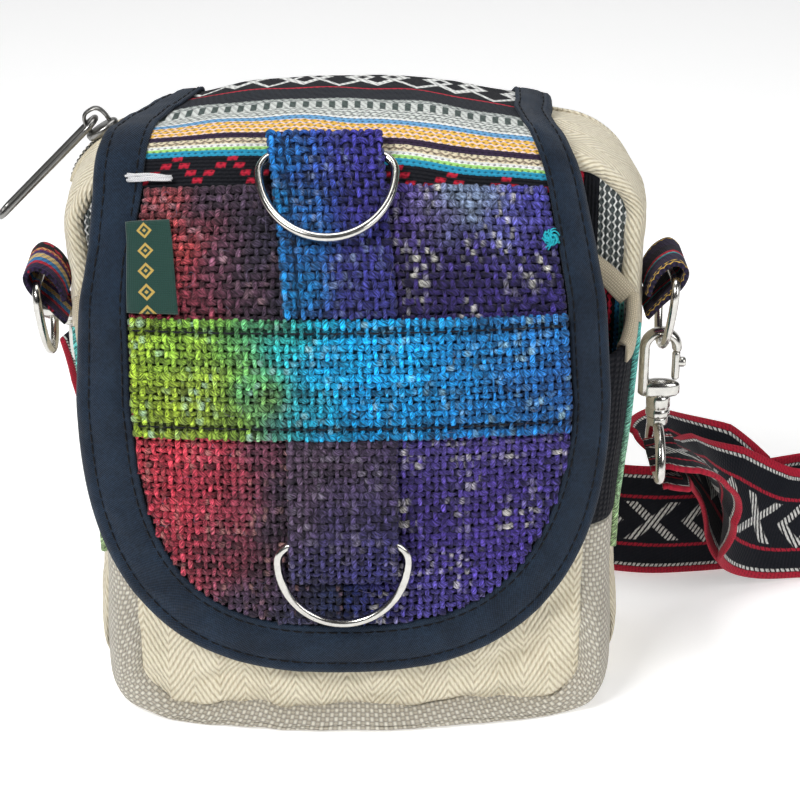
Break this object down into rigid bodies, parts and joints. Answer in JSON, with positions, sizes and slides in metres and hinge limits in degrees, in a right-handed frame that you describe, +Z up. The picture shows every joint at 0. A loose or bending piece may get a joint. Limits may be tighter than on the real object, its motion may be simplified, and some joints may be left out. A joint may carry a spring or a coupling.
{
  "type": "crossbody bag",
  "caption": "Small hemp crossbody bag with a zipped compartment, open front pocket, tie-dyed patchwork flap with metal rings, and a woven shoulder strap on snap hooks.",
  "frame": {"origin": "on the floor under the middle of the main compartment's base", "axes": "+Z up, -Y towards the flap's front, +X to the right seen from the front"},
  "size_m": [0.3941, 0.1702, 0.1751],
  "materials": {
    "hemp_cream": "matte woven herringbone",
    "hemp_plain": "matte plain weave",
    "striped_cloth": "matte woven stripes",
    "navy_tape": "matte twill tape",
    "hemp_red": "matte coarse weave, tie-dyed",
    "hemp_violet": "matte coarse weave, tie-dyed",
    "hemp_blue": "matte coarse weave, tie-dyed",
    "hemp_brown": "matte coarse weave, tie-dyed",
    "label_green": "satin woven tab",
    "strap_black": "matte woven pattern",
    "nickel": "polished nickel plate",
    "zinc": "dark satin"
  },
  "bodies": {
    "bag": {"main_gusset": "hemp_cream", "main_back_panel": "hemp_cream", "main_front_panel": "striped_cloth", "zip_chain": "hemp_cream", "pocket_front_panel": "hemp_cream", "pocket_gusset": "hemp_plain", "pocket_side_left": "striped_cloth", "pocket_side_right": "striped_cloth", "pocket_back": "striped_cloth", "pocket_back_binding": "hemp_cream", "pocket_front_binding": "hemp_cream", "pocket_side_binding_left": "hemp_cream", "pocket_side_binding_right": "hemp_cream", "flap_base": "striped_cloth", "flap_binding": "navy_tape", "patch_upper_left": "hemp_red", "patch_upper_right": "hemp_violet", "patch_lower_left": "hemp_red", "patch_lower_right": "hemp_violet", "band_cross": "hemp_blue", "strip_upper": "hemp_violet", "strip_lower": "hemp_brown", "label_tab": "label_green", "zip_slider": "zinc", "side_tab_left": "striped_cloth", "side_ring_left": "nickel", "side_tab_right": "striped_cloth", "side_ring_right": "nickel", "hook_right_body": "nickel", "hook_right_eye": "nickel", "hook_left": "nickel", "strap": "strap_black", "strap_tail": "strap_black"},
    "d_ring_upper": {"d_ring_upper": "nickel"},
    "d_ring_lower": {"d_ring_lower": "nickel"},
    "zip_puller": {"zip_puller": "zinc"},
    "hook_right_gate": {"hook_right_gate": "nickel"}
  },
  "joints": [
    {"name": "d_ring_upper_swing", "type": "hinge", "parent": "bag", "child": "d_ring_upper", "pos_m": [-0.0075, -0.01927, 0.16674], "axis": [-1, 0, 0], "range_deg": [0, 150]},
    {"name": "d_ring_lower_swing", "type": "hinge", "parent": "bag", "child": "d_ring_lower", "pos_m": [-0.0045, -0.04365, 0.06457], "axis": [-1, 0, 0], "range_deg": [0, 160]},
    {"name": "zip_puller_swing", "type": "hinge", "parent": "bag", "child": "zip_puller", "pos_m": [-0.07212, 0.022, 0.16374], "axis": [0, 1, 0], "range_deg": [0, 140]},
    {"name": "hook_gate_swing", "type": "hinge", "parent": "bag", "child": "hook_right_gate", "pos_m": [0.09023, 0.004, 0.09229], "axis": [0, -1, 0], "range_deg": [0, 22], "stiffness_Nm_per_rad": 0.002}
  ]
}
